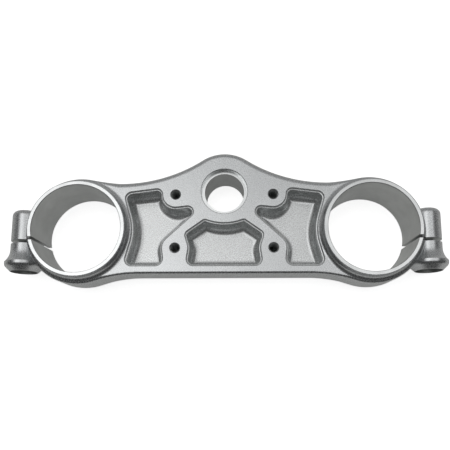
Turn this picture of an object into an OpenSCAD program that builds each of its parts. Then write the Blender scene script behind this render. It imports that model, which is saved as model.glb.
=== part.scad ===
// Upper triple clamp of a motorcycle fork, machined from one aluminium forging.
// Two split rings grip the fork tubes and the bore between them takes the steering stem.
// +Z is up along the stem, +Y points to the rider and X runs across the machine.
// The origin is on the stem axis, in the plane that the rings stand on. Millimetres.

/* [Fork rings] */
// Bore for each fork tube
fork_bore_d = 53; // [48:0.5:58]
// Distance between the fork bores
fork_spacing = 175; // [168:1:190]
// Height of a ring, and of the whole clamp
ring_h = 30; // [28:0.5:36]
// Width of the flat rim round each bore
rim_w = 2.6; // [2:0.1:3.5]
// Height that the rims stand above the plate
rim_proud = 6; // [4:0.5:8]
// Fillet where a rim meets the plate
rim_fillet = 1.8; // [1:0.1:2.2]
// Wall round each bore at plate level
ring_wall = 6.2; // [6.2:0.1:9]

/* [Steering stem] */
// Distance of the stem axis behind the fork axes
stem_offset = 24; // [20:0.5:30]
// Bore for the stem
stem_bore_d = 24; // [20:0.5:26]
// Seat for the stem nut, sunk into the plate
stem_seat_d = 28; // [27:0.1:31]
// Depth of the seat
stem_seat_depth = 3; // [1:0.5:8]
// Radius of the plate behind the stem
hump_r = 25; // [23:0.2:30]
// Radius of the boss under the plate
stem_boss_r = 18; // [16:0.5:21]

/* [Plate] */
// Thickness of the plate
plate_t = 18; // [16:0.5:19]
// Rounding of the plate's top edge along the front and round the rings
front_edge_r = 1.2; // [0.6:0.1:1.3]
// Rounding of the plate's top edge along the rear
rear_edge_r = 2.8; // [1.4:0.1:3.5]
// Rounding of the plate's bottom edge
under_edge_r = 2.4; // [1.4:0.1:3.5]
// Distance of the straight front edge ahead of the fork axes
front_reach = 26.4; // [25:0.2:29]
// Distance of the waist of the rear edge behind the fork axes
rear_reach = 30.3; // [28:0.1:32]
// Radius that leads the front edge into each ring
front_blend_r = 80; // [50:1:110]

/* [Pockets] */
// Depth of the three pockets
pocket_depth = 12; // [6:0.5:13]
// Fillet round each pocket's floor
pocket_fillet = 4.4; // [2:0.1:4.8]
// Rounding of each pocket's mouth
pocket_edge = 0.9; // [0.3:0.1:1.2]
// Width of metal left along the front edge
front_web = 4.8; // [4:0.1:7]
// Width of metal left along the rear edge, beside the rings
rear_web = 6; // [5:0.1:7]
// Metal left between a rim's fillet and a pocket
rim_lip = 0.5; // [0.4:0.1:1.5]
// Metal left between the stem axis and the middle pocket
stem_web = 19.3; // [18:0.1:22]

/* [Accessory holes] */
// Distance between the holes across the clamp
hole_span_x = 59; // [57:0.5:62]
// Distance between the holes along the machine
hole_span_y = 33; // [31:0.5:35]
// Distance of the front holes behind the fork axes, negative ahead of them
hole_front_y = -11; // [-13:0.25:-10]
// Wall diameter of a hole, tapped M6
hole_d = 5; // [4.2:0.1:5.4]
// Diameter of the countersunk mouth
hole_mouth_d = 6.1; // [5.8:0.1:7]
// Depth of a hole
hole_depth = 13; // [8:0.5:13.5]
// Radius of metal kept round a hole
hole_boss_r = 7.5; // [7:0.1:8]

/* [Pinch bolts] */
// Distance of a bolt's axis outside the fork axis
pinch_out = 36; // [35:0.1:38]
// Height of a bolt's axis
pinch_z = 15; // [13:0.5:17]
// Radius of the barrel behind the slit
barrel_r = 8.5; // [7:0.1:9.5]
// Radius of the bolt's head boss
head_r = 11.5; // [10:0.1:12]
// Distance of the head boss's face ahead of the fork axes
head_reach = 24.4; // [22:0.1:27]
// Length of the head boss from its face to the flare
head_len = 6.2; // [5.5:0.1:7]
// Distance of the barrel's rear end behind the fork axes
barrel_reach = 14.2; // [10:0.1:17]
// Rounding of the barrel's rear end
barrel_end_r = 3.6; // [1:0.1:4]
// Width of the slit through each ring
slit_w = 2; // [1:0.1:3]
// Distance of the slit's middle ahead of the fork axes
slit_y = 6; // [5:0.1:8]
// Counterbore for the bolt's head
head_bore_d = 14.6; // [13.5:0.1:16]
// Depth of the counterbore
head_bore_depth = 8; // [6:0.5:9]
// Clearance hole between the counterbore and the slit
bolt_clear_d = 8.6; // [8.2:0.1:9]
// Wall diameter of the hole behind the slit, tapped M8
bolt_tap_d = 6.8; // [6.4:0.1:7.2]

/* [Hidden] */
$fn = 96;
eps = 0.05;             // overlap that keeps joined shapes from only touching
cut = 1;                // length by which a cut runs past a face
arc_step = 12;          // largest angle between two points of a rounded outline
chord = 6;              // largest distance between two points of a wide arc
round_steps = 3;        // steps of an outer rounding
turned_steps = 5;       // steps of a fillet or rounding on a turned part
fillet_steps = 4;       // steps of a pocket's floor fillet
mouth_steps = 2;        // steps of a pocket's mouth rounding
draft_w = 0.3;          // lean of a pocket's wall
rim_break = 0.4;        // broken edges of rims and bosses
tip_angle = 59;         // half the point angle of a drill
tail_deg = -124;        // where a side pocket's tail lies round the rear hole
tail_gap = 1.1;         // straight stretch between the hole's wall and the tail
ring_gap = 2.2;         // room between a ring's wall and the corners beside it
floor_corner_r = 0.3;   // least radius of a corner of a pocket's floor
corner_tail = 4;        // radii of the pocket corners
corner_outer_rear = 3;
corner_inner_rear = 4;
corner_outer_front = 3.6;
corner_inner_front = 4.4;
corner_mid_front = 4;
corner_mid_side = 3;
corner_mid_rear = 2;
mid_arc_r = 30;         // flat arc of the middle pocket towards the stem
rear_corner_up = 0.2;   // inner rear corner, above the rear hole
inner_front_out = 11.4; // inner front corner, outside the front hole
mid_front_in = 10.9;   // middle pocket's corners, inside the front hole
mid_side_in = 9;
mid_side_up = 7.85;
mid_rear_x = 11.7;      // middle pocket's rear corner, across and below its arc
mid_rear_drop = 0.2;
flare_r = 11;           // concave flare from a barrel to its head boss
head_edge = 3.8;        // sloping edge round the head boss's face
head_edge_r = 3;        // rounding between that edge and the boss's side

fork_r = fork_bore_d / 2;
rim_r = fork_r + rim_w;
foot_r = rim_r + rim_fillet;
ring_r = fork_r + ring_wall;
fork_x = fork_spacing / 2;
fork_y = -stem_offset;
top_z = ring_h - rim_proud;
under_z = top_z - plate_t;
hole_x = hole_span_x / 2;
front_hole_y = fork_y + hole_front_y;
rear_hole_y = front_hole_y + hole_span_y;
floor_z = top_z - pocket_depth;
floor_in = pocket_edge + draft_w + pocket_fillet;
pinch_x = fork_x + pinch_out;
slit_mid = fork_y - slit_y;

// Polar step from a point
function polar(r, a) = [r * cos(a), r * sin(a)];
// Centre of a circle of radius r3 that touches two others from outside, left of the way from c1 to c2
function touching(c1, r1, c2, r2, r3) =
    let (v = c2 - c1, l = norm(v), a = r1 + r3, b = r2 + r3,
         along = (a * a - b * b + l * l) / (2 * l), side = sqrt(a * a - along * along))
    c1 + v * along / l + [-v[1], v[0]] * side / l;
// Radius of the circle that touches the hump and a ring and dips to rear_reach between them
function dip_gap(r) =
    touching([0, 0], hump_r, [fork_x, fork_y], ring_r, r)[1] - r - fork_y - rear_reach;
function dip_radius(lo, hi, n) =
    n == 0 ? (lo + hi) / 2
    : dip_gap((lo + hi) / 2) > 0 ? dip_radius(lo, (lo + hi) / 2, n - 1)
    : dip_radius((lo + hi) / 2, hi, n - 1);

// An outline is a belt round circles [x, y, r]: r is positive where the belt turns left round
// the circle and negative where it turns right. Moving it inwards by d makes each r smaller by d.
// like has the circles of the whole stack of outlines, and gives the number of points at each.
function heading(a, b) =
    let (v = [b[0] - a[0], b[1] - a[1]], s = (b[2] - a[2]) / norm(v))
    atan2(v[1], v[0]) - asin(max(-1, min(1, s)));
function left(a) = [-sin(a), cos(a)];
function turn(a, b, r) = r > 0 ? ((b - a) % 360 + 360) % 360 : -(((a - b) % 360 + 360) % 360);
function steps(t, r) = max(1, ceil(abs(t) / arc_step), ceil(abs(t) * PI / 180 * abs(r) / chord));
function swing(c, i) =
    let (n = len(c), h1 = heading(c[(i + n - 1) % n], c[i]), h2 = heading(c[i], c[(i + 1) % n]))
    [h1, h2, turn(h1, h2, c[i][2])];
function belt(c, d, like) = [
    for (i = [0:len(c) - 1])
        let (w = swing(c, i), h1 = w[0], h2 = w[1], t = w[2], m = steps(swing(like, i)[2], like[i][2]),
             r = c[i][2] - d, corner = (left(h1) + left(h2)) / (1 + left(h1) * left(h2)))
            for (k = [0:m])
                [c[i][0], c[i][1]] - r * (c[i][2] > 0 && r <= 0.01 ? corner : left(h1 + t * k / m))];
function across(c) = [for (i = [len(c) - 1:-1:0]) [-c[i][0], c[i][1], c[i][2]]];

// Rear edge: the hump behind the stem and a ring, with one wide arc between them
dip_r = dip_radius(20, 200, 24);
dip_c = touching([0, 0], hump_r, [fork_x, fork_y], ring_r, dip_r);
// Front edge: a wide arc from each ring to the straight stretch
blend_y = fork_y - front_reach - front_blend_r;
blend_x = fork_x - sqrt(pow(ring_r + front_blend_r, 2) - pow(blend_y - fork_y, 2));
half_edge = [
    [blend_x, blend_y, -front_blend_r],
    [fork_x, fork_y, ring_r],
    [dip_c[0], dip_c[1], -dip_r]];
plate_edge = concat(half_edge, [[0, 0, hump_r]], across(half_edge));

// Side pocket on the +X side, anticlockwise from its outer rear corner
ring_clear = foot_r + rim_lip;
outer_rear_y = fork_y + rear_reach - rear_web - corner_outer_rear;
outer_front_y = fork_y - front_reach + front_web + corner_outer_front;
function beside_ring(y, r) = fork_x - sqrt(pow(ring_clear + r + ring_gap, 2) - pow(y - fork_y, 2));
tail_mid = [hole_x, rear_hole_y] + polar(hole_boss_r + corner_tail + tail_gap, tail_deg);
tail = [tail_mid[0], tail_mid[1], corner_tail];
outer_rear = [beside_ring(outer_rear_y, corner_outer_rear), outer_rear_y, corner_outer_rear];
inner_rear = [hole_x + hole_boss_r + corner_inner_rear, rear_hole_y + rear_corner_up, corner_inner_rear];
inner_front_y = fork_y - front_reach + front_web + corner_inner_front;
rear_wall = [hole_x, rear_hole_y, -hole_boss_r];
front_wall = [hole_x, front_hole_y, -hole_boss_r];
// Corner circle c of an outline that is moved inwards by d. Where c is too small for that, a wider
// circle takes its place, slid along the straight side of heading h until it clears the round wall w.
// way is 1 where it slides ahead and -1 where it slides back.
function grown(c, d, h, way, w) =
    let (r = max(c[2], d + floor_corner_r), p = [c[0], c[1]] + (r - c[2]) * left(h),
         v = p - [w[0], w[1]], m = way * [cos(h), sin(h)], s = r - w[2] + eps,
         root = pow(v * m, 2) + s * s - v * v, t = root > 0 ? max(0, sqrt(root) - v * m) : 0)
    [p[0] + t * m[0], p[1] + t * m[1], r];
function side_edge(d) = [
    outer_rear,
    grown(inner_rear, d, heading(outer_rear, inner_rear), -1, rear_wall),
    rear_wall,
    grown(tail, d, heading(tail, front_wall), 1, rear_wall),
    front_wall,
    [hole_x + inner_front_out, inner_front_y, corner_inner_front],
    [beside_ring(outer_front_y, corner_outer_front), outer_front_y, corner_outer_front],
    [fork_x, fork_y, -ring_clear]];

// Middle pocket: its right half, anticlockwise, then the arc below the stem and the left half
mid_side = [hole_x - mid_side_in, front_hole_y + mid_side_up, corner_mid_side];
mid_rear = [mid_rear_x, mid_rear_drop - stem_web, corner_mid_rear];
mid_arc = [0, mid_arc_r - stem_web, -mid_arc_r];
function half_mid(d) = [
    [hole_x - mid_front_in, fork_y - front_reach + front_web + corner_mid_front, corner_mid_front],
    front_wall,
    mid_side,
    grown(mid_rear, d, heading(mid_side, mid_rear), -1, mid_arc)];
function mid_edge(d) = concat(half_mid(d), [mid_arc], across(half_mid(d)));

// Solid through a stack of loops of points, from the lowest up
module skin(loops) {
    n = len(loops[0]);
    m = len(loops);
    points = [for (l = loops) each l];
    function same(a, b) = norm(points[a] - points[b]) < 1e-6;
    sides = [for (k = [0:m - 2], i = [0:n - 1])
        let (j = (i + 1) % n, a = k * n + i, b = k * n + j, c = a + n, d = b + n)
            each [if (!same(a, b)) [a, d, b], if (!same(c, d)) [a, c, d]]];
    floor = [for (i = [0:n - 1]) if (!same(i, (i + 1) % n)) i];
    roof = [for (i = [n - 1:-1:0]) if (!same((m - 1) * n + i, (m - 1) * n + (i + 1) % n)) (m - 1) * n + i];
    polyhedron(points = points, faces = concat(sides, [floor, roof]), convexity = 6);
}

// Plate, with edges rounded as far as the rims beside them leave room
module plate() {
    outer = belt(plate_edge, 0, plate_edge);
    inner = belt(plate_edge, 1, plate_edge);
    function room(p, r) =
        min(r, max(front_edge_r, norm([abs(p[0]) - fork_x, p[1] - fork_y]) - foot_r - 0.3));
    function at(i, d, z) = let (q = outer[i] + d * (inner[i] - outer[i])) [q[0], q[1], z];
    n = len(outer);
    bottom = [for (k = [0:round_steps]) let (a = 90 * k / round_steps)
        [for (i = [0:n - 1]) let (r = room(outer[i], under_edge_r))
            at(i, r * (1 - sin(a)), under_z + r * (1 - cos(a)))]];
    top = [for (k = [0:round_steps]) let (a = 90 * k / round_steps)
        [for (i = [0:n - 1]) let (r = outer[i][1] > fork_y ? room(outer[i], rear_edge_r) : front_edge_r)
            at(i, r * (1 - cos(a)), top_z - r * (1 - sin(a)))]];
    skin(concat(bottom, top));
}

// One of the pockets: the middle one, or the side one on the +X side
module pocket(middle) {
    function edge(d) = middle ? mid_edge(d) : side_edge(d);
    fillet = [for (k = [0:fillet_steps]) let (a = 90 * k / fillet_steps)
        [floor_in - pocket_fillet * sin(a), floor_z + pocket_fillet * (1 - cos(a))]];
    mouth = [for (k = [0:mouth_steps]) let (a = 90 * k / mouth_steps)
        [pocket_edge * (1 - sin(a)), top_z - pocket_edge * cos(a)]];
    profile = concat(fillet, mouth, [[0, top_z + cut]]);
    skin([for (p = profile) [for (q = belt(edge(p[0]), p[0], edge(0))) [q[0], q[1], p[1]]]]);
}

// Points of an arc from angle a0 to angle a1
function arc(x, y, r, a0, a1) =
    [for (k = [0:turned_steps]) [x, y] + polar(r, a0 + (a1 - a0) * k / turned_steps)];

// Turned collar from z = 0 up, with fillets to the plate's faces; one that ends inside the plate has h = 0
module collar(r, h, fillet) {
    foot = r + fillet;
    lower = concat([[0, 0], [r - rim_break, 0], [r, rim_break]],
        arc(foot, under_z - fillet - eps, fillet, 180, 90));
    upper = h > 0
        ? concat(arc(foot, top_z + fillet + eps, fillet, 270, 180), [[r, h - rim_break], [r - rim_break, h], [0, h]])
        : [[foot, floor_z - cut], [0, floor_z - cut]];
    rotate_extrude() polygon(concat(lower, upper));
}

// Boss for a pinch bolt, turned about the bolt's axis and laid along Y
module pinch_boss() {
    front = -head_reach;
    back = barrel_reach;
    head_back = front + head_len;
    flare_len = sqrt(pow(flare_r, 2) - pow(flare_r - (head_r - barrel_r), 2));
    flare_a = asin(flare_len / flare_r);
    edge_back = front + head_edge + head_edge_r * tan(22.5);
    profile = concat([[0, front], [head_r - head_edge, front]],
        arc(head_r - head_edge_r, edge_back, head_edge_r, -45, 0),
        arc(barrel_r + flare_r, head_back + flare_len, flare_r, 180 + flare_a, 180),
        arc(barrel_r - barrel_end_r, back - barrel_end_r, barrel_end_r, 0, 90), [[0, back]]);
    translate([pinch_x, fork_y, pinch_z])
        rotate([-90, 0, 0])
            rotate_extrude() polygon(profile);
}

// Blind hole with a countersunk mouth and the point that the drill leaves
module accessory_hole() {
    r = hole_d / 2;
    mouth = hole_mouth_d / 2;
    translate([0, 0, top_z])
        rotate_extrude()
            polygon([[0, -hole_depth - r / tan(tip_angle)], [r, -hole_depth], [r, r - mouth], [mouth, 0],
                [mouth, cut], [0, cut]]);
}

module stem_bore() {
    translate([0, 0, -cut]) cylinder(h = ring_h + 2 * cut, d = stem_bore_d);
    translate([0, 0, top_z - stem_seat_depth]) cylinder(h = stem_seat_depth + cut, d = stem_seat_d);
}

// Everything that is cut for one pinch bolt: counterbore, clearance hole, tapped hole and slit
module pinch_cuts() {
    head_floor = -head_reach + head_bore_depth;
    translate([pinch_x, fork_y, pinch_z])
        rotate([-90, 0, 0]) {
            translate([0, 0, -head_reach - cut]) cylinder(h = head_bore_depth + cut, d = head_bore_d);
            translate([0, 0, head_floor - cut]) cylinder(h = -slit_y - head_floor + cut, d = bolt_clear_d);
            translate([0, 0, -slit_y]) cylinder(h = slit_y + barrel_reach + cut, d = bolt_tap_d);
        }
    translate([fork_x, slit_mid - slit_w / 2, -cut])
        cube([pinch_out + head_r + cut, slit_w, ring_h + 2 * cut]);
}

module both_sides() {
    children();
    mirror([1, 0, 0]) children();
}

module triple_clamp() {
    color("silver")
        difference() {
            union() {
                plate();
                collar(stem_boss_r, 0, rim_fillet);
                both_sides() {
                    translate([fork_x, fork_y, 0]) collar(rim_r, ring_h, rim_fillet);
                    pinch_boss();
                }
            }
            stem_bore();
            pocket(middle = true);
            both_sides() {
                pocket(middle = false);
                translate([fork_x, fork_y, -cut]) cylinder(h = ring_h + 2 * cut, d = fork_bore_d);
                for (y = [front_hole_y, rear_hole_y]) translate([hole_x, y, 0]) accessory_hole();
                pinch_cuts();
            }
        }
}

triple_clamp();
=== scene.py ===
import math

import bmesh
import bpy
import numpy as np
from mathutils import Matrix, Vector

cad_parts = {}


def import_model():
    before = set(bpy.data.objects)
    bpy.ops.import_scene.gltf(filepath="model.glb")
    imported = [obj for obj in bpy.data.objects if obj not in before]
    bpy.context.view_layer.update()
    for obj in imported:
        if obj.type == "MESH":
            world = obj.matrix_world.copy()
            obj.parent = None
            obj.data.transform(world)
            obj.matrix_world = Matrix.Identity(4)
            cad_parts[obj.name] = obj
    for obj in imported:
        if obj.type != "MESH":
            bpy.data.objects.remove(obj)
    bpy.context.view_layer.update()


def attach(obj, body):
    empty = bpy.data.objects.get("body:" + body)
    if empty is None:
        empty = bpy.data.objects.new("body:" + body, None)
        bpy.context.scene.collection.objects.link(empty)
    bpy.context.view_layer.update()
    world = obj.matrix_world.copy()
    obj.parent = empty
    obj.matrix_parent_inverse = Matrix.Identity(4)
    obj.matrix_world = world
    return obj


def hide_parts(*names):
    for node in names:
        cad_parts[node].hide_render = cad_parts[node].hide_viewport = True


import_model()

MM = 0.001

# Sizes of the part, in millimetres

fork_r, fork_x, fork_y = 26.5, 87.5, -24.0
ring_h, rim_r, rim_fillet, ring_fillet, ring_edge_r, ring_r = 30.0, 29.1, 1.8, 3.2, 1.8, 32.7
top_z, under_z = 24.0, 6.0
foot_r = rim_r + rim_fillet
stem_r, seat_r, seat_depth, hump_r, stem_boss_r = 12.0, 14.0, 3.0, 25.0, 18.0
broken_edge, rim_edge_r, rim_foot_r, stem_break = 0.3, 0.6, 0.35, 1.0
front_edge_r, rear_edge_r, under_edge_r = 1.8, 4.0, 2.4
front_y, rear_dip = -26.8, 30.3
front_blend_r = 80.0
pocket_depth, pocket_fillet, pocket_edge, draft_w = 12.0, 4.6, 1.1, 0.3
front_web, rear_web, rim_lip, stem_web = 4.6, 6.0, 0.5, 19.3
outer_rear_r, inner_rear_r, tail_r, inner_front_r, outer_front_r = 4.5, 4.0, 4.0, 4.8, 4.4
rear_gap, front_gap, rear_corner_up, inner_front_out = 1.4, 1.0, 0.2, 11.6
tail_gap, tail_deg = 1.5, -124.0
mid_front_r, mid_side_r, mid_rear_r, mid_arc_r = 4.6, 3.8, 2.0, 30.0
mid_front_in, mid_side_in, mid_side_up, mid_rear_x, mid_rear_drop = 11.2, 9.4, 7.7, 11.7, 0.2
hole_x, hole_front_y, hole_span_y = 29.5, -11.0, 33.0
hole_boss_r, hole_minor_r, hole_major_r, hole_mouth_r, hole_depth = 7.5, 2.5, 2.98, 3.3, 13.0
hole_pitch, bolt_pitch, hole_thread_end, bolt_thread_end, drill_tip = 1.0, 1.25, 0.6, 0.5, 59.0
pinch_x, pinch_z = fork_x + 36.0, 15.0
barrel_r, barrel_reach, barrel_end_r = 8.5, 14.2, 3.6
head_r, head_reach, head_len, head_edge, head_edge_r, flare_r = 11.5, 23.9, 5.7, 3.4, 3.0, 11.0
face_edge_r, face_edge_in = 0.6, 0.25
slit_w, slit_y, slit_end = 2.0, 6.0, 14.0
head_bore_r, head_bore_depth, bolt_clear_r, bolt_minor_r, bolt_major_r = 7.8, 8.0, 4.3, 3.4, 4.0
# The least corner of a pocket's floor, its gap to a round wall, and small overlaps of solids
least_corner, corner_gap, overlap, lift = 0.3, 0.05, 0.01, 0.004

# Nodes and materials


def srgb(text):
    """Linear colour of a hex sRGB value."""
    c = [int(text[i:i + 2], 16) / 255 for i in (1, 3, 5)]
    return [v / 12.92 if v <= 0.04045 else ((v + 0.055) / 1.055) ** 2.4 for v in c] + [1.0]


def add(tree, kind, links=None, **settings):
    """A node with its settings, and its inputs linked to sockets or to the first outputs of nodes, or
    set to constants."""
    node = tree.nodes.new(kind)
    for key, value in settings.items():
        setattr(node, key, value)
    for key, value in (links or {}).items():
        if isinstance(value, bpy.types.Node):
            value = value.outputs[0]
        if isinstance(value, bpy.types.NodeSocket):
            tree.links.new(value, node.inputs[key])
        else:
            node.inputs[key].default_value = value
    return node


def new_material(name):
    m = bpy.data.materials.new(name)
    m.use_nodes = True
    m.node_tree.nodes.clear()
    return m, m.node_tree


def blasted_metal(name, metallic, dark="#d6d8d9", light="#dee0e1", speck="#c8cacb"):
    """Aluminium blasted with fine beads and clear anodised: a pale, even grey that spreads highlights
    softly, and slightly cloudy where the blasting varied. The real grain is too fine to show, so it is
    drawn 0.45 mm across, just fine enough to sparkle, with dimples of 0.8 mm."""
    m, t = new_material(name)
    where = add(t, "ShaderNodeTexCoord").outputs["Object"]
    grain = add(t, "ShaderNodeTexNoise", {"Vector": where, "Scale": 1 / (0.45 * MM), "Detail": 3.0})
    cloud = add(t, "ShaderNodeTexNoise", {"Vector": where, "Scale": 1 / (14.0 * MM), "Detail": 3.0})
    dimple = add(t, "ShaderNodeTexNoise", {"Vector": where, "Scale": 1 / (0.8 * MM), "Detail": 1.0})
    cloudy = add(t, "ShaderNodeMapRange", {0: cloud, 1: 0.35, 2: 0.65})
    tone = add(t, "ShaderNodeMix", {0: cloudy, 6: srgb(dark), 7: srgb(light)}, data_type="RGBA")
    specks = add(t, "ShaderNodeMapRange", {0: grain, 1: 0.40, 2: 0.62})
    colour = add(t, "ShaderNodeMix", {0: specks, 6: srgb(speck), 7: tone.outputs[2]}, data_type="RGBA")
    rough = add(t, "ShaderNodeMapRange", {0: grain, 1: 0.3, 2: 0.7, 3: 0.22, 4: 0.34})
    fine = add(t, "ShaderNodeBump", {"Height": grain, "Strength": 0.5, "Distance": 0.10 * MM})
    normal = add(t, "ShaderNodeBump", {
        "Height": dimple, "Strength": 0.25, "Distance": 0.10 * MM, "Normal": fine})
    metal = add(t, "ShaderNodeBsdfPrincipled", {
        "Base Color": colour.outputs[2], "Metallic": metallic, "Roughness": rough, "Normal": normal})
    add(t, "ShaderNodeOutputMaterial", {"Surface": metal})
    return m


def turned_metal(name, centre, along_y=False, light="#d3d5d4", dark="#c6c8c7", least=0.30):
    """Aluminium cut on a lathe or boring head after blasting: smoother than the body, with feed lines
    round the axis that streak the reflections. The real lines lie closer than the picture can show, so
    they are drawn about 0.22 mm apart. centre is a point of the axis, mirrored in X."""
    m, t = new_material(name)
    where = add(t, "ShaderNodeTexCoord").outputs["Object"]
    axes = add(t, "ShaderNodeSeparateXYZ", {0: where}).outputs
    across, along = (2, 1) if along_y else (1, 2)
    side = add(t, "ShaderNodeMath", {0: axes[0]}, operation="ABSOLUTE")
    flat = add(t, "ShaderNodeCombineXYZ", {0: side, 1: axes[across]})
    mid = (centre[0] * MM, centre[across] * MM, 0.0)
    radius = add(t, "ShaderNodeVectorMath", {0: flat, 1: mid}, operation="DISTANCE").outputs["Value"]
    feed = add(t, "ShaderNodeMath", {0: radius, 1: axes[along]}, operation="ADD")
    lines = add(t, "ShaderNodeTexNoise", {
        "W": feed, "Scale": 1 / (0.22 * MM), "Detail": 2.0}, noise_dimensions="1D")
    cloud = add(t, "ShaderNodeTexNoise", {"Vector": where, "Scale": 1 / (9.0 * MM), "Detail": 2.0})
    cloudy = add(t, "ShaderNodeMapRange", {0: cloud, 1: 0.3, 2: 0.7})
    colour = add(t, "ShaderNodeMix", {0: cloudy, 6: srgb(dark), 7: srgb(light)}, data_type="RGBA")
    rough = add(t, "ShaderNodeMapRange", {0: lines, 1: 0.3, 2: 0.7, 3: least, 4: least + 0.12})
    normal = add(t, "ShaderNodeBump", {"Height": lines, "Strength": 0.22, "Distance": 0.03 * MM})
    metal = add(t, "ShaderNodeBsdfPrincipled", {
        "Base Color": colour.outputs[2], "Metallic": 0.95, "Roughness": rough, "Normal": normal})
    add(t, "ShaderNodeOutputMaterial", {"Surface": metal})
    return m


BLASTED, POCKET, FORK, RIM, SEAT, STEM, PINCH, HOLE = range(8)
materials = [
    # Bead-blasted, clear anodised aluminium: pale, even and softly bright
    blasted_metal("blasted aluminium", 0.92),
    # The same in the pockets, where the duller forged skin makes it less of a mirror
    blasted_metal("blasted pocket", 0.72, "#e2e4e4", "#eaecec", "#d6d8d8"),
    # Bored aluminium of the fork bores and slits: mid-grey, streaked round the wall
    turned_metal("bored ring", (fork_x, fork_y, 0.0)),
    # Faced aluminium of the rims: nearly white and smooth, which sets the rings off from the plate
    turned_metal("turned rim", (fork_x, fork_y, 0.0), light="#eceeee", dark="#dee0e0", least=0.18),
    # Faced aluminium of the seat round the stem bore, a little brighter still
    turned_metal("turned stem seat", (0.0, 0.0, 0.0), light="#eef0f0", dark="#e0e2e2", least=0.18),
    # Bored aluminium of the stem bore: a darker grey, since little light comes in from below
    turned_metal("bored stem hole", (0.0, 0.0, 0.0), light="#bfc1c0", dark="#b0b2b1"),
    # Bored aluminium of the holes for the pinch bolts: mid-grey, as in the fork bores
    turned_metal("bored pinch hole", (pinch_x, 0.0, pinch_z), along_y=True),
    # Tapped aluminium, on the walls and ridges of the threads: grey with bright crests
    turned_metal("tapped hole", (hole_x, fork_y + hole_front_y + hole_span_y / 2, 0.0),
                 light="#d0d2d2", dark="#b8baba"),
]

# Outlines made of arcs


def left(a):
    """Unit vector to the left of a direction."""
    return np.array([-math.sin(a), math.cos(a)])


def heading(a, b):
    """Direction of the straight stretch between two circles of a belt."""
    v = b[0] - a[0], b[1] - a[1]
    s = (b[2] - a[2]) / math.hypot(*v)
    return math.atan2(v[1], v[0]) - math.asin(max(-1.0, min(1.0, s)))


def swing(circles, i):
    """Directions before and after a circle of a belt, and the angle that it turns there."""
    h1 = heading(circles[i - 1], circles[i])
    h2 = heading(circles[i], circles[(i + 1) % len(circles)])
    t = (h2 - h1) % (2 * math.pi) if circles[i][2] > 0 else -((h1 - h2) % (2 * math.pi))
    return h1, h2, t


def belt(circles, inset=0.0, like=None, angle=3.0, chord=0.9):
    """Points of a belt round circles (x, y, r), anticlockwise, moved inwards by inset. r is negative
    where the belt turns right. A corner smaller than the inset is a mitred point. like has the
    circles of the whole stack of outlines and gives the number of points at each."""
    points = []
    like = like or circles
    for i, (x, y, r) in enumerate(circles):
        h1, h2, t = swing(circles, i)
        most, wide = abs(swing(like, i)[2]), abs(like[i][2])
        m = max(2, math.ceil(most / math.radians(angle)), math.ceil(most * wide / chord))
        corner = (left(h1) + left(h2)) / (1 + left(h1) @ left(h2))
        for k in range(m + 1):
            side = corner if r > 0 and r - inset < 0.01 else left(h1 + t * k / m)
            points.append(np.array([x, y]) - (r - inset) * side)
    return np.array(points)


def mirrored(circles):
    """The circles of the other half, in the order that goes on anticlockwise."""
    return [(-x, y, r) for x, y, r in circles[::-1]]


def touching(r1, c2, r2, r3):
    """Centre of a circle of radius r3 that touches one at the origin and one at c2, both from above."""
    v = np.array(c2)
    length = np.linalg.norm(v)
    a, b = r1 + r3, r2 + r3
    along = (a * a - b * b + length * length) / (2 * length)
    return v * along / length + np.array([-v[1], v[0]]) * math.sqrt(a * a - along * along) / length


def dip_radius():
    """Radius of the rear arc whose lowest point is rear_dip behind the fork axes."""
    low, high = 20.0, 200.0
    for _ in range(40):
        r = (low + high) / 2
        if touching(hump_r, (fork_x, fork_y), ring_r, r)[1] - r > fork_y + rear_dip:
            high = r
        else:
            low = r
    return low


dip_r = dip_radius()
dip = touching(hump_r, (fork_x, fork_y), ring_r, dip_r)
blend_y = fork_y + front_y - front_blend_r
blend_x = fork_x - math.sqrt((ring_r + front_blend_r) ** 2 - (blend_y - fork_y) ** 2)
half_edge = [(blend_x, blend_y, -front_blend_r), (fork_x, fork_y, ring_r), (dip[0], dip[1], -dip_r)]
plate_edge = half_edge + [(0.0, 0.0, hump_r)] + mirrored(half_edge)

ring_clear = foot_r + rim_lip
front_hole_y = fork_y + hole_front_y
rear_hole_y = front_hole_y + hole_span_y


def beside_ring(y, r, gap):
    """X of a corner circle at y that leaves a gap to the wall round a ring."""
    return fork_x - math.sqrt((ring_clear + r + gap) ** 2 - (y - fork_y) ** 2)


rear_wall = (hole_x, rear_hole_y, -hole_boss_r)
front_wall = (hole_x, front_hole_y, -hole_boss_r)


def grown(c, inset, h, way, wall):
    """Corner circle of an outline moved inwards. Where it is too small for that, a wider one takes its
    place, slid along the straight side of heading h, ahead or back, until it clears the round wall."""
    r = max(c[2], inset + least_corner)
    p = np.array(c[:2]) + (r - c[2]) * left(h)
    v = p - np.array(wall[:2])
    m = way * np.array([math.cos(h), math.sin(h)])
    root = (v @ m) ** 2 + (r - wall[2] + corner_gap) ** 2 - v @ v
    t = max(0.0, math.sqrt(root) - v @ m) if root > 0 else 0.0
    return (p[0] + t * m[0], p[1] + t * m[1], r)


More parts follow.
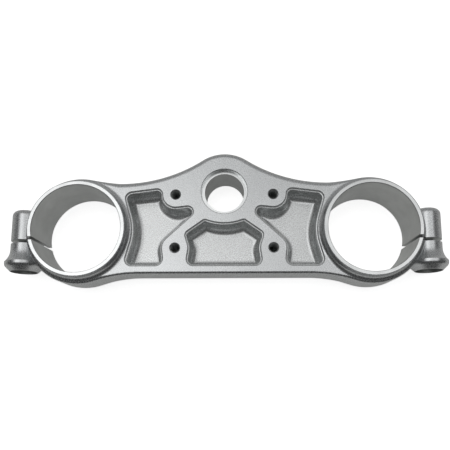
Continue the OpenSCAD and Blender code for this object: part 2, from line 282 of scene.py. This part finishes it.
def side_edge(inset=0.0):
    """The +X side pocket, from its outer rear corner."""
    rear_y = fork_y + rear_dip - rear_web - outer_rear_r
    front = fork_y + front_y + front_web
    outer = (beside_ring(rear_y, outer_rear_r, rear_gap), rear_y, outer_rear_r)
    corner = (hole_x + hole_boss_r + inner_rear_r, rear_hole_y + rear_corner_up, inner_rear_r)
    reach, a = hole_boss_r + tail_r + tail_gap, math.radians(tail_deg)
    tail = (hole_x + reach * math.cos(a), rear_hole_y + reach * math.sin(a), tail_r)
    outer_front_x = beside_ring(front + outer_front_r, outer_front_r, front_gap)
    return [
        outer,
        grown(corner, inset, heading(outer, corner), -1, rear_wall),
        rear_wall,
        grown(tail, inset, heading(tail, front_wall), 1, rear_wall),
        front_wall,
        (hole_x + inner_front_out, front + inner_front_r, inner_front_r),
        (outer_front_x, front + outer_front_r, outer_front_r),
        (fork_x, fork_y, -ring_clear)]


def middle_edge(inset=0.0):
    """The middle pocket: its right half, the arc before the stem and the left half."""
    front = (hole_x - mid_front_in, fork_y + front_y + front_web + mid_front_r, mid_front_r)
    side = (hole_x - mid_side_in, front_hole_y + mid_side_up, mid_side_r)
    rear = (mid_rear_x, mid_rear_drop - stem_web, mid_rear_r)
    arc_wall = (0.0, mid_arc_r - stem_web, -mid_arc_r)
    half = [front, front_wall, side, grown(rear, inset, heading(side, rear), -1, arc_wall)]
    return half + [arc_wall] + mirrored(half)


# Solids


def make(name, verts, faces, indices):
    """Mesh object from points in millimetres, with a material index for each face."""
    mesh = bpy.data.meshes.new(name)
    mesh.from_pydata([tuple(v) for v in np.asarray(verts) * MM], [], faces)
    for m in materials:
        mesh.materials.append(m)
    mesh.polygons.foreach_set("material_index", indices)
    bm = bmesh.new()
    bm.from_mesh(mesh)
    bmesh.ops.remove_doubles(bm, verts=bm.verts, dist=1e-6)
    bmesh.ops.dissolve_degenerate(bm, edges=bm.edges, dist=1e-6)
    bm.to_mesh(mesh)
    bm.free()
    obj = bpy.data.objects.new(name, mesh)
    bpy.context.scene.collection.objects.link(obj)
    return obj


def stack(name, loops, index=BLASTED):
    """Closed solid through loops of points, from the lowest up."""
    n = len(loops[0])
    faces = [list(range(n))[::-1]]
    for k in range(len(loops) - 1):
        for i in range(n):
            j = (i + 1) % n
            faces.append([k * n + i, k * n + j, (k + 1) * n + j, (k + 1) * n + i])
    faces.append([(len(loops) - 1) * n + i for i in range(n)])
    return make(name, np.vstack(loops), faces, [index] * len(faces))


def turn(name, profile, place, sides=240, index=BLASTED):
    """Closed solid turned about its own Z from (r, z) points that go up, then placed."""
    verts, rows = [], []
    for r, z in profile:
        if r < 1e-6:
            rows.append([len(verts)] * sides)
            verts.append((0.0, 0.0, z))
        else:
            rows.append(list(range(len(verts), len(verts) + sides)))
            verts += [(r * math.cos(2 * math.pi * k / sides), r * math.sin(2 * math.pi * k / sides), z)
                      for k in range(sides)]
    faces = []
    for a, b in zip(rows, rows[1:]):
        for i in range(sides):
            k = (i + 1) % sides
            f = []
            for v in (a[i], a[k], b[k], b[i]):
                if v not in f:
                    f.append(v)
            if len(f) > 2:
                faces.append(f)
    return make(name, [place @ Vector(v) for v in verts], faces, [index] * len(faces))


def arc(x, y, r, a0, a1, n=8):
    """Points of an arc from a0 to a1 degrees, in n steps."""
    return [(x + r * math.cos(math.radians(a0 + (a1 - a0) * k / n)),
             y + r * math.sin(math.radians(a0 + (a1 - a0) * k / n))) for k in range(n + 1)]


def at(x, y, z, along_y=False):
    """Placing of a turned solid, its axis upright or to the rear."""
    m = Matrix.Translation((x, y, z))
    return m @ Matrix.Rotation(-math.pi / 2, 4, "X") if along_y else m


def envelope():
    """Room for the plate and its collars: the plate's outline with rounded edges. Where a rim's
    fillet reaches the edge, the rounding ends on the fillet at the same slope."""
    outer, inner = belt(plate_edge, 0.0), belt(plate_edge, 1.0)
    gap = np.hypot(np.abs(outer[:, 0]) - fork_x, outer[:, 1] - fork_y)
    under = np.clip(gap - foot_r - 0.3, front_edge_r, under_edge_r)
    wide = np.where(outer[:, 1] > fork_y, rear_edge_r, front_edge_r)
    least, most = np.minimum(wide, ring_edge_r), np.maximum(wide, ring_edge_r)
    top = np.clip(ring_edge_r + (gap - ring_r) * 0.4, least, most)
    over = np.maximum(rim_r + ring_fillet - (gap - top), 0.0)
    mid_z = top_z + ring_fillet - np.sqrt((ring_fillet + top) ** 2 - over ** 2)
    last = math.pi / 2 - np.arcsin(over / (ring_fillet + top))
    loops = []
    n = 10

    def loop(inset, z):
        xy = outer + (inner - outer) * inset[:, None]
        loops.append(np.column_stack([xy, z * np.ones(len(outer))]))

    loop(under, -1.0)
    for k in range(n + 1):
        a = math.pi / 2 * k / n
        loop(under * (1 - math.sin(a)), under_z + under * (1 - math.cos(a)))
    for k in range(n + 1):
        a = last * k / n
        loop(top * (1 - np.cos(a)), mid_z + top * np.sin(a) + lift)
    loop(top * (1 - np.cos(last)), ring_h + 1)
    return stack("envelope", loops)


def plate():
    """Sharp block a little wider than the plate, which the envelope trims."""
    outline = belt(plate_edge, -0.5)
    return stack("plate", [np.column_stack([outline, np.full(len(outline), z)]) for z in (under_z, top_z)])


def pocket(name, edge, flip=False):
    """Cutter for a pocket, whose outline is edge(inset)."""
    floor_z = top_z - pocket_depth
    inset = pocket_edge + draft_w + pocket_fillet
    n = 12
    profile = []
    for k in range(n + 1):
        a = math.pi / 2 * k / n
        profile.append((inset - pocket_fillet * math.sin(a), floor_z + pocket_fillet * (1 - math.cos(a))))
    for k in range(7):
        a = math.pi / 2 * k / 6
        profile.append((pocket_edge * (1 - math.sin(a)), top_z - pocket_edge * math.cos(a)))
    profile.append((0.0, top_z + 2))
    loops = []
    for d, z in profile:
        xy = belt(edge(d), d, edge(), 4.0, 0.8)
        if flip:
            xy = xy[::-1] * (-1, 1)
        loops.append(np.column_stack([xy, np.full(len(xy), z)]))
    return stack(name, loops, POCKET)


def collar(name, x, y, r, height):
    """Collar on both faces of the plate, filleted into them, or one on its underside only."""
    e, e_top, foot = rim_foot_r, rim_edge_r, r + rim_fillet
    low = [(0.0, 0.0)] + arc(r - e, e, e, -90, 0, 4)
    low += arc(foot, under_z - rim_fillet - overlap, rim_fillet, 180, 90)
    if height:
        low += [(r + ring_fillet, under_z + 3), (r + ring_fillet, top_z + overlap)]
        high = arc(r + ring_fillet, top_z + ring_fillet + overlap, ring_fillet, 270, 180, 12)
        high += arc(r - e_top, height - e_top, e_top, 0, 90, 6) + [(0.0, height)]
    else:
        high = [(foot, under_z + 2), (0.0, under_z + 2)]
    return turn(name, low + high, at(x, y, 0.0))


def boss(name, x):
    """Barrel, flare and head for a pinch bolt."""
    front, back = -head_reach, barrel_reach
    head_back = front + head_len
    flare_len = math.sqrt(flare_r ** 2 - (flare_r - head_r + barrel_r) ** 2)
    flare_a = math.degrees(math.asin(flare_len / flare_r))
    slope_back = front + head_edge + head_edge_r * math.tan(math.radians(22.5))
    face_r = head_r - head_edge - face_edge_in
    profile = [(0.0, front)] + arc(face_r, front + face_edge_r, face_edge_r, -90, -45, 4)
    profile += arc(head_r - head_edge_r, slope_back, head_edge_r, -45, 0)
    profile += arc(barrel_r + flare_r, head_back + flare_len, flare_r, 180 + flare_a, 180)
    profile += arc(barrel_r - barrel_end_r, back - barrel_end_r, barrel_end_r, 0, 90) + [(0.0, back)]
    return turn(name, profile, at(x, fork_y, pinch_z, True), sides=160)


def rod(name, r, low, high, place, index, mouth=0.0, sides=240):
    """Cutter for a bore. mouth breaks its edge at z = 0 of the placed rod."""
    profile = [(0.0, low), (r, low)]
    if mouth:
        profile += [(r, -mouth), (r + mouth, 0.0), (r + mouth, high)]
    else:
        profile += [(r, high)]
    return turn(name, profile + [(0.0, high)], place, sides=sides, index=index)


def block(name, lo, hi, index):
    """Box between two corners, the lower one first."""
    v = [(x, y, z) for z in (lo[2], hi[2]) for y in (lo[1], hi[1]) for x in (lo[0], hi[0])]
    f = [(0, 2, 3, 1), (4, 5, 7, 6), (0, 1, 5, 4), (2, 6, 7, 3), (0, 4, 6, 2), (1, 3, 7, 5)]
    return make(name, v, f, [index] * 6)


def combine(base, tools, operation):
    """Joins the tools to the base or cuts them from it, and removes them."""
    for tool in tools:
        mod = base.modifiers.new("shape", "BOOLEAN")
        mod.operation = operation
        mod.solver = "MANIFOLD"
        mod.object = tool
    done = bpy.data.meshes.new_from_object(base.evaluated_get(bpy.context.evaluated_depsgraph_get()))
    base.modifiers.clear()
    base.data = done
    for tool in tools:
        bpy.data.objects.remove(tool)


def flat_true_normals(mesh, sharp=30.0):
    """Corner normals that keep flat faces flat: around a point, each flat region counts with its
    whole area, and faces more than sharp degrees apart don't mix."""
    nf, nl = len(mesh.polygons), len(mesh.loops)

    def read(items, name, count, kind):
        values = np.empty(count, dtype=kind)
        items.foreach_get(name, values)
        return values

    normal = read(mesh.polygons, "normal", nf * 3, float).reshape(-1, 3)
    area = read(mesh.polygons, "area", nf, float)
    total = read(mesh.polygons, "loop_total", nf, np.int64)
    vert = read(mesh.loops, "vertex_index", nl, np.int64)
    edge = read(mesh.loops, "edge_index", nl, np.int64)
    face = np.repeat(np.arange(nf), total)
    order = np.argsort(edge, kind="stable")
    e, f = edge[order], face[order]
    pair = np.nonzero(e[1:] == e[:-1])[0]
    a, b = f[pair], f[pair + 1]
    same = np.einsum("ij,ij->i", normal[a], normal[b]) > math.cos(math.radians(0.2))
    a, b = a[same], b[same]
    label = np.arange(nf)
    while True:
        low = np.minimum(label[a], label[b])
        new = label.copy()
        np.minimum.at(new, a, low)
        np.minimum.at(new, b, low)
        new = new[new]
        if (new == label).all():
            break
        label = new
    region = np.bincount(label, weights=area, minlength=nf)[label]
    order = np.argsort(vert, kind="stable")
    v, f = vert[order], face[order]
    first = np.searchsorted(v, np.arange(len(mesh.vertices)))
    count = np.bincount(v, minlength=len(mesh.vertices))
    out = np.zeros((nl, 3))
    for k in range(count.max()):
        has = count[vert] > k
        other = np.zeros(nl, dtype=np.int64)
        other[has] = f[first[vert[has]] + k]
        turn_cos = np.einsum("ij,ij->i", normal[face], normal[other])
        near = has & (turn_cos > math.cos(math.radians(sharp)))
        out[near] += normal[other[near]] * region[other[near]][:, None]
    out /= np.maximum(np.linalg.norm(out, axis=1), 1e-12)[:, None]
    mesh.polygons.foreach_set("use_smooth", np.ones(nf, dtype=bool))
    mesh.normals_split_custom_set(out.tolist())


def clamp():
    """The whole clamp: plate, collars and bosses joined, then all bores and pockets cut."""
    body = plate()
    collars = [collar("ring", s * fork_x, fork_y, rim_r, ring_h) for s in (-1, 1)]
    combine(body, collars + [collar("stem boss", 0.0, 0.0, stem_boss_r, 0.0)], "UNION")
    combine(body, [envelope()], "INTERSECT")
    combine(body, [boss("boss", s * pinch_x) for s in (-1, 1)], "UNION")
    cuts = [pocket("pocket", middle_edge), pocket("pocket", side_edge), pocket("pocket", side_edge, True)]
    bore = [(0.0, -2.0), (stem_r + 2 + stem_break, -2.0), (stem_r, stem_break),
            (stem_r, top_z - 0.5), (0.0, top_z - 0.5)]
    cuts.append(turn("stem bore", bore, at(0, 0, 0), sides=200, index=STEM))
    cuts.append(rod("stem seat", seat_r, -seat_depth, 2.0, at(0, 0, top_z), SEAT, broken_edge, 200))
    r, mouth = hole_major_r, hole_mouth_r
    hole = [(0.0, -hole_depth - r / math.tan(math.radians(drill_tip))), (r, -hole_depth), (r, r - mouth),
            (mouth, 0.0), (mouth, 2.0), (0.0, 2.0)]
    head_floor = head_bore_depth - head_reach
    for s in (-1, 1):
        ring_top = at(s * fork_x, fork_y, ring_h)
        cuts.append(rod("fork bore", fork_r, -ring_h - 2, 2.0, ring_top, FORK, broken_edge))
        for y in (front_hole_y, rear_hole_y):
            cuts.append(turn("hole", hole, at(s * hole_x, y, top_z), sides=72, index=HOLE))
        axis = at(s * pinch_x, fork_y, pinch_z, True)
        cuts.append(rod("counterbore", head_bore_r, -head_reach - 2, head_floor, axis, PINCH, sides=128))
        cuts.append(rod("clearance", bolt_clear_r, head_floor - 1, -slit_y, axis, PINCH, sides=96))
        through = -slit_y - 0.2, barrel_reach + 2
        cuts.append(rod("thread core", bolt_major_r, *through, axis, PINCH, sides=96))
        x = sorted((s * fork_x, s * (pinch_x + slit_end)))
        y = fork_y - slit_y
        cuts.append(block("slit", (x[0], y - slit_w / 2, -2), (x[1], y + slit_w / 2, ring_h + 2), FORK))
    combine(body, cuts, "DIFFERENCE")
    for face in body.data.polygons:
        if face.center.z > (ring_h - overlap) * MM:
            face.material_index = RIM
    body.name = body.data.name = "triple_clamp_body"
    flat_true_normals(body.data)
    return body


# Threads, by Geometry Nodes


def thread_group():
    """A thread's ridge, wound as a helix from every point of a mesh and turned by Rotation."""
    g = bpy.data.node_groups.new("thread ridges", "GeometryNodeTree")
    face = g.interface
    face.new_socket("Geometry", in_out="INPUT", socket_type="NodeSocketGeometry")
    for name, kind in (("Root radius", "Float"), ("Crest radius", "Float"), ("Pitch", "Float"),
                       ("Length", "Float"), ("Rotation", "Rotation"), ("Material", "Material")):
        face.new_socket(name, in_out="INPUT", socket_type="NodeSocket" + kind)
    face.new_socket("Geometry", in_out="OUTPUT", socket_type="NodeSocketGeometry")
    i = add(g, "NodeGroupInput").outputs
    rounds = add(g, "ShaderNodeMath", {0: i["Length"], 1: i["Pitch"]}, operation="DIVIDE")
    helix = add(g, "GeometryNodeCurveSpiral", {
        "Resolution": 32, "Rotations": rounds,
        "Start Radius": i["Root radius"], "End Radius": i["Root radius"], "Height": i["Length"]})
    upright = add(g, "GeometryNodeSetCurveNormal", {0: helix}, mode="Z_UP")
    height = add(g, "ShaderNodeMath", {0: i["Root radius"], 1: i["Crest radius"]}, operation="SUBTRACT")
    ridge = add(g, "GeometryNodeCurvePrimitiveCircle", {"Resolution": 4, "Radius": height}, mode="RADIUS")
    tube = add(g, "GeometryNodeCurveToMesh", {
        "Curve": upright, "Profile Curve": ridge, "Fill Caps": True})
    copies = add(g, "GeometryNodeInstanceOnPoints", {
        "Points": i["Geometry"], "Instance": tube, "Rotation": i["Rotation"]})
    real = add(g, "GeometryNodeRealizeInstances", {0: copies})
    coat = add(g, "GeometryNodeSetMaterial", {0: real, "Material": i["Material"]})
    flat = add(g, "GeometryNodeSetShadeSmooth", {0: coat, "Shade Smooth": False})
    add(g, "NodeGroupOutput", {0: flat})
    return g


def threads(name, group, starts, tilt, values):
    """Ridges from the starts, which are one end of each thread's axis, in millimetres."""
    mesh = bpy.data.meshes.new(name)
    mesh.from_pydata([tuple(Vector(p) * MM) for p in starts], [], [])
    obj = bpy.data.objects.new(name, mesh)
    bpy.context.scene.collection.objects.link(obj)
    mod = obj.modifiers.new("threads", "NODES")
    mod.node_group = group
    sockets = {s.name: s.identifier for s in group.interface.items_tree if s.in_out == "INPUT"}
    mod[sockets["Rotation"]] = (tilt, 0.0, 0.0)
    for key, value in values.items():
        mod[sockets[key]] = value * MM
    mod[sockets["Material"]] = materials[HOLE]
    done = bpy.data.meshes.new_from_object(obj.evaluated_get(bpy.context.evaluated_depsgraph_get()))
    obj.modifiers.clear()
    obj.data = done
    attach(obj, "root")


body = clamp()
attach(body, "root")
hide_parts("triple_clamp")
ridges = thread_group()
hole_starts = [(s * hole_x, y, top_z - hole_depth) for s in (-1, 1) for y in (front_hole_y, rear_hole_y)]
threads("hole_threads", ridges, hole_starts, 0.0, {
    "Root radius": hole_major_r, "Crest radius": hole_minor_r, "Pitch": hole_pitch,
    "Length": hole_depth - hole_thread_end})
slit_back = slit_w / 2 - slit_y
bolt_starts = [(s * pinch_x, fork_y + slit_back + bolt_thread_end, pinch_z) for s in (-1, 1)]
threads("bolt_threads", ridges, bolt_starts, -math.pi / 2, {
    "Root radius": bolt_major_r, "Crest radius": bolt_minor_r, "Pitch": bolt_pitch,
    "Length": barrel_reach - slit_back - 2 * bolt_thread_end})

# Floor, light and camera

# The overhead panel, by where a reflection meets it: x / z across and y / z towards the rear
PANEL_LEVELS = [(-0.6, 1.35), (-0.3, 1.56), (-0.16, 1.35), (-0.05, 0.98), (0.08, 0.82), (0.25, 0.78),
                (0.45, 1.05), (0.65, 1.05)]
PANEL_PEAK = 1.56
# Where the panel begins and is full, at each of its sides
PANEL_LEFT, PANEL_RIGHT = (-0.85, -0.6), (0.85, 0.6)
PANEL_FRONT, PANEL_BACK = (-0.35, -0.05), (0.85, 0.28)
# The room beside it, which is lighter towards the rear
ROOM_LEVEL, REAR_LEVEL, REAR_FROM = 0.05, 0.30, (0.4, 0.9)
# Least height of a direction that is divided by, for those at and under the horizon
LEAST_UP = 0.02
# Colour and glow of the floor as it lights the part, as metal mirrors it and as the camera sees it
FLOOR_LIGHTS, FLOOR_MIRRORED, FLOOR_SEEN = ("#c8c8c4", 0.17), ("#c8c8c4", 0.2), ("#f9f9f9", 0.8)
FLOOR_HALF, FLOOR_UNDER = 3.0, 0.00005
# The photograph's view: focal length and principal point in pixels of a picture 450 wide
PICTURE, FOCAL, PRINCIPAL = 450, 450, (233, 290)
CAMERA_AT = (0.010544, -0.09743, 0.285166)
CAMERA_AXES = [[0.9998, 0.00016, -0.02008], [0.00266, 0.99015, 0.13999], [0.01991, -0.14002, 0.98995]]


def stage():
    """Pale, matt studio floor. Mirrored in metal it is greyer than the camera sees it, so that the
    bores and the front edge keep the mid-grey of the photograph."""
    m, t = new_material("pale floor")
    path = add(t, "ShaderNodeLightPath").outputs
    shades = []
    for colour, glow in (FLOOR_LIGHTS, FLOOR_MIRRORED, FLOOR_SEEN):
        shades.append(add(t, "ShaderNodeBsdfPrincipled", {
            "Base Color": srgb(colour), "Roughness": 0.95, "Specular IOR Level": 0.0,
            "Emission Color": srgb("#ffffff"), "Emission Strength": glow}))
    glancing = add(t, "ShaderNodeMath", {
        0: path["Is Glossy Ray"], 1: path["Is Transmission Ray"]}, operation="MAXIMUM")
    other = add(t, "ShaderNodeMixShader", {0: glancing, 1: shades[0], 2: shades[1]})
    mix = add(t, "ShaderNodeMixShader", {0: path["Is Camera Ray"], 1: other, 2: shades[2]})
    add(t, "ShaderNodeOutputMaterial", {"Surface": mix})
    mesh = bpy.data.meshes.new("floor")
    w = FLOOR_HALF
    mesh.from_pydata([(-w, -w, 0), (w, -w, 0), (w, w, 0), (-w, w, 0)], [], [(0, 1, 2, 3)])
    mesh.materials.append(m)
    obj = bpy.data.objects.new("floor", mesh)
    obj.location.z = -FLOOR_UNDER
    bpy.context.scene.collection.objects.link(obj)


def world():
    """Studio: an overhead panel, brighter on the left, over a dark room, and white behind the part."""
    w = bpy.data.worlds.new("studio")
    bpy.context.scene.world = w
    w.use_nodes = True
    t = w.node_tree
    t.nodes.clear()
    path = add(t, "ShaderNodeLightPath").outputs
    plain = add(t, "ShaderNodeBackground", {"Color": srgb("#ffffff"), "Strength": 1.0})
    way = add(t, "ShaderNodeTexCoord").outputs["Generated"]
    axes = add(t, "ShaderNodeSeparateXYZ", {0: way}).outputs
    up = add(t, "ShaderNodeMath", {0: axes[2], 1: LEAST_UP}, operation="MAXIMUM")
    u, v = [add(t, "ShaderNodeMath", {0: axes[k], 1: up}, operation="DIVIDE") for k in (0, 1)]
    fall = add(t, "ShaderNodeValToRGB", {0: add(t, "ShaderNodeMapRange", {0: u, 1: -1.0, 2: 1.0})})
    stops = fall.color_ramp.elements
    while len(stops) < len(PANEL_LEVELS):
        stops.new(0.99)
    for stop, (place, bright) in zip(stops, PANEL_LEVELS):
        stop.position = (place + 1) / 2
        stop.color = [bright / PANEL_PEAK] * 3 + [1.0]
    level = add(t, "ShaderNodeMath", {0: fall, 1: PANEL_PEAK}, operation="MULTIPLY")
    for across, (outer, inner) in ((u, PANEL_LEFT), (u, PANEL_RIGHT), (v, PANEL_FRONT), (v, PANEL_BACK)):
        edge = add(t, "ShaderNodeMapRange", {0: across, 1: outer, 2: inner})
        level = add(t, "ShaderNodeMath", {0: level, 1: edge}, operation="MULTIPLY")
    rear = add(t, "ShaderNodeMapRange", {
        0: v, 1: REAR_FROM[0], 2: REAR_FROM[1], 3: ROOM_LEVEL, 4: REAR_LEVEL})
    level = add(t, "ShaderNodeMath", {0: level, 1: rear}, operation="ADD")
    grey = add(t, "ShaderNodeCombineXYZ", {0: level, 1: level, 2: level})
    room = add(t, "ShaderNodeBackground", {"Color": grey, "Strength": 1.0})
    mix = add(t, "ShaderNodeMixShader", {0: path["Is Camera Ray"], 1: room, 2: plain})
    add(t, "ShaderNodeOutputWorld", {"Surface": mix})


def camera():
    """The photograph's camera, as fitted to the round features of the part."""
    data = bpy.data.cameras.new("camera")
    data.sensor_width = 36.0
    data.lens = data.sensor_width * FOCAL / PICTURE
    data.shift_x = (PICTURE / 2 - PRINCIPAL[0]) / PICTURE
    data.shift_y = (PRINCIPAL[1] - PICTURE / 2) / PICTURE
    data.clip_start = 0.01
    obj = bpy.data.objects.new("camera", data)
    obj.matrix_world = Matrix.Translation(CAMERA_AT) @ Matrix(CAMERA_AXES).transposed().to_4x4()
    bpy.context.scene.collection.objects.link(obj)
    bpy.context.scene.camera = obj


stage()
world()
camera()
bpy.context.scene.view_settings.view_transform = "Standard"
